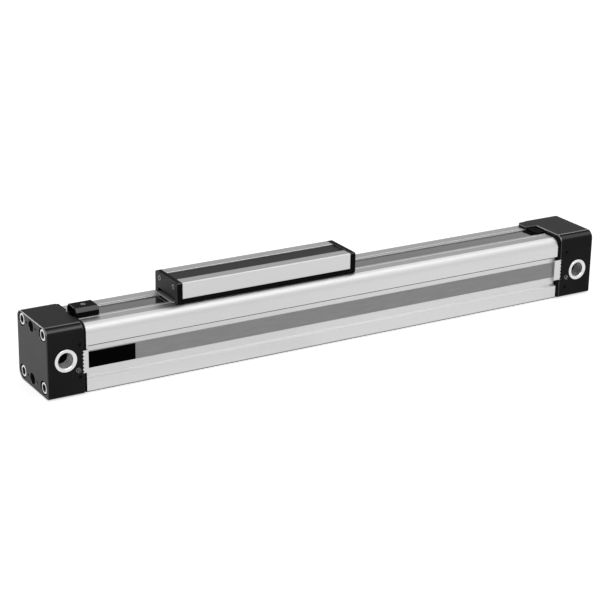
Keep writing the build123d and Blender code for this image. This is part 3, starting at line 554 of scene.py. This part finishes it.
# Cushion screws
# Small blackened screws with a slot, one in each cap beside its port. They throttle the air at the end of
# the stroke, when the pistons run onto the spigots behind the caps.

screw_edge = 0.3 * MM
blackened, shade = new_finish("blackened_steel", Metallic=1.0)
oil = shade.noise(300, 3)
vary(blackened,
     Base_Color=oil.between((0.05, 0.05, 0.052), (0.11, 0.11, 0.112)),
     Roughness=0.34 + 0.16 * oil,
     Normal=oil.bump(0.08, 0.02 * MM))
for side in ("left", "right"):
    node = side + "_cushion_screw"
    screw = rounded(node, side + "_throttle_screw", node + "_body", cap_paint, "dark_steel", screw_edge)
    # The screw's sloped faces take the same finish: a painted highlight ring round its head.
    refinish(screw, highlight_edge, lambda face: 0.2 < abs(face.normal.y) < 0.97)
dress(blackened, "left_cushion_spigot", "right_cushion_spigot")


# Band clamps
# Black blocks under the clamp cover and the hood press on the band's ends, each held by a screw. The moulded
# cover arches over the left one, and a thin black sheet lies on the band before the right one. Blocks, right
# screw and sheet are near black as painted shade.

moulding, shade = new_finish("black_moulded_plastic", Specular_IOR_Level=0.004, Coat_Roughness=0.16)
mould_grain = shade.noise(2400, 2)
mould_flow = shade.noise(50, 3)
vary(moulding,
     Base_Color=mould_flow.between(0.006, 0.011),
     Roughness=0.24 + 0.14 * mould_flow,
     Coat_Weight=shade.edges(),
     Normal=mould_grain.bump(0.12, 0.03 * MM))
moulded_edge = 0.2 * MM
rounded("left_clamp_cover", "clamp_cover", "cylinder", moulding, "black_plastic", moulded_edge)
# Blocks and the right clamp screw are near black: painted shade under the hood.
shade_black_finish, shade = new_finish("painted_shade_black_block", Specular_IOR_Level=0.01)
block_grain = shade.noise(2000, 2)
vary(shade_black_finish,
     Base_Color=block_grain.between(0.002, 0.005),
     Roughness=0.5 + 0.2 * block_grain,
     Normal=block_grain.bump(0.1, 0.02 * MM))
dress(shade_black_finish, "left_clamp_block", "right_clamp_block", "right_clamp_screw")
block_low, block_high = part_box("right_clamp_block")
# A thin black sheet on the band before the right block: painted shade.
shade_sheet_length = 2.6 * MM
shade_sheet_thickness = 0.5 * MM
shade_sheet = block((block_low.x - shade_sheet_length, block_low.y, block_low.z),
            (block_low.x, block_high.y, block_low.z + shade_sheet_thickness))
soften(shade_sheet, slight_edge)
fit(shade_sheet, "right_band_shade_sheet", "cylinder", shade_black_finish, "black_plastic")
dress(port_bore, "left_clamp_screw")


# Carriage
# An aluminium saddle with a dark strip between its rims. Moulded covers close its ends and carry the wipers,
# and a yoke through the slot, held by screws, joins it to the two pistons.

saddle_edge = 0.25 * MM
saddle = rounded("carriage_saddle", "carriage_block", "carriage", anodised, "silver_anodised", saddle_edge)
# Upward faces take the darker copy: painted shade on the tops.
refinish(saddle, painted_shade_top, lambda face: face.normal.z > flat)
dark_strip, shade = new_finish("dark_top_strip", Specular_IOR_Level=0.04)
strip_lines = shade.noise(1800, 3, (0.006, 1, 1), 0.7)
vary(dark_strip,
     Base_Color=strip_lines.between(0.018, 0.030),
     Roughness=0.40 + 0.14 * strip_lines,
     Normal=strip_lines.bump(0.10, 0.02 * MM))
dress(dark_strip, "carriage_top_strip")
sheen_cover_face = sheen_black("painted_sheen_cover_face", 0.025, 0.065)
dress(moulding, "near_slide_strip", "far_slide_strip", "left_piston", "right_piston")
dress(anodised, "piston_yoke")
dress(zinc, "yoke_screws")
dress(blackened, "left_magnet_ring", "right_magnet_ring")
dress(port_bore, "left_cover_screws", "right_cover_screws")
for side in ("left", "right"):
    node = side + "_carriage_cover"
    cover = rounded(node, side + "_end_moulding", "carriage", moulding, "black_plastic", moulded_edge)
    # The covers' end faces are painted greyer: painted sheen.
    refinish(cover, sheen_cover_face, lambda face: abs(face.normal.x) > flat)

pale_plastic, shade = new_finish("pale_wiper_plastic", Specular_IOR_Level=0.5)
milk = shade.noise(500, 3)
vary(pale_plastic,
     Base_Color=milk.between((0.66, 0.66, 0.65), (0.80, 0.80, 0.79)),
     Roughness=0.34 + 0.12 * milk,
     Normal=milk.bump(0.08, 0.02 * MM))
dress(pale_plastic, "left_guide_ring", "right_guide_ring")
grey_plastic, shade = new_finish("shaded_wiper_plastic", Specular_IOR_Level=0.1)
film = shade.noise(300, 3)
vary(grey_plastic,
     Base_Color=film.between(0.10, 0.20),
     Roughness=0.30 + 0.12 * film,
     Normal=film.bump(0.08, 0.02 * MM))

# Each lip slopes down to its tip, and a tongue over the band reaches on to the cover's face.
lip_height = 0.7 * MM
lip_edge = 0.45 * MM
tongue_gap = 0.1 * MM
for side, inward in (("left", 1), ("right", -1)):
    low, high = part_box(side + "_wiper")
    cover_low, cover_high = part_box(side + "_carriage_cover")
    tip, back = (low.x, high.x) if inward > 0 else (high.x, low.x)
    face = cover_low.x if inward > 0 else cover_high.x
    sole = cover_low.z
    lip = block((min(tip, back), low.y, sole), (max(tip, back), high.y, sole + lip_height))
    for corner in lip.data.vertices:
        if abs(corner.co.x - tip) < 0.01 * MM:
            corner.co.z = min(corner.co.z, sole + lip_edge)
    tongue_half = (outer_high.y - outer_low.y) / 2 - tongue_gap
    tongue = block((min(face, back), -tongue_half, low.z), (max(face, back), tongue_half, sole + lip_edge))
    lip = fit(join(lip, tongue), side + "_wiper_lip", "carriage", pale_plastic, "pale_plastic",
              side + "_wiper")
    refinish(lip, grey_plastic, lambda face: face.normal.z > 0.5)


# Studio
# A pale floor, large soft lamps and a camera where the photograph was taken from. Floor and air show as
# white, and light the cylinder at a lower level.

floor_tone = 0.8
floor_glow = 0.62
floor_gap = 0.4 * MM
air_light = 0.4


def paper(name, tone):
    """A white surface that shows as plain white to the eye and in reflections, and still takes shadows."""
    made = bpy.data.materials.new(name)
    made.use_nodes = True
    tree = made.node_tree
    tree.nodes.remove(tree.nodes["Principled BSDF"])
    shade = Shade(tree)
    seen = shade.seen()
    diffuse = shade.node("BsdfDiffuse", {}, {"Color": (tone, tone, tone, 1)}, "BSDF")
    glow = shade.node("Emission", {}, {"Color": (1, 1, 1, 1), "Strength": floor_glow}, "Emission")
    both = shade.node("AddShader", {}, {0: diffuse, 1: glow})
    mixed = shade.node("MixShader", {}, {0: seen, 1: diffuse, 2: both})
    tree.links.new(mixed.socket, tree.nodes["Material Output"].inputs["Surface"])
    return made


deselect()
bpy.ops.mesh.primitive_plane_add(size=12, location=(0, 0, -floor_gap))
floor = bpy.context.object
floor.name = "studio_floor"
floor.data.materials.append(paper("white_paper", floor_tone))

world = bpy.data.worlds.new("studio_air")
bpy.context.scene.world = world
world.use_nodes = True
air = Shade(world.node_tree)
seen = air.seen()
background = world.node_tree.nodes["Background"]
background.inputs["Color"].default_value = (1, 1, 1, 1)
strength = air_light + (1 - air_light) * seen
world.node_tree.links.new(strength.socket, background.inputs["Strength"])


def lamp(name, place, width, depth, power):
    """A soft rectangular lamp that looks at the cylinder's middle, its width level."""
    deselect()
    bpy.ops.object.light_add(type="AREA", location=place)
    made = bpy.context.object
    made.name = name
    made.data.shape = "RECTANGLE"
    made.data.size = width
    made.data.size_y = depth
    made.data.energy = power
    aim = -made.location
    made.rotation_euler = aim.to_track_quat("-Z", "Y").to_euler()
    return made


lamp("key_lamp", (-0.5, -1.1, 1.7), 0.7, 0.7, 8)
lamp("top_lamp", (0.9, -0.4, 1.8), 2.0, 0.45, 5)
lamp("back_lamp", (0.9, 1.7, 1.15), 2.0, 0.10, 2.5)
lamp("left_lamp", (-1.0, 1.7, 0.35), 0.7, 0.7, 6)

deselect()
bpy.ops.object.camera_add(location=(-545.3 * MM, -878.8 * MM, 396.3 * MM))
camera = bpy.context.object
camera.name = "studio_camera"
yaw, pitch, roll = (math.radians(a) for a in (31.03, 20.01, 1.00))
aim = Euler((math.pi / 2 - pitch, 0, -yaw)).to_matrix() @ Matrix.Rotation(roll, 3, "Z")
camera.rotation_euler = aim.to_euler()
picture_width = 600
picture_distance = 1838
camera.data.sensor_width = 36
camera.data.lens = camera.data.sensor_width * picture_distance / picture_width
camera.data.clip_start = 0.01
bpy.context.scene.camera = camera
bpy.context.scene.view_settings.view_transform = "Standard"
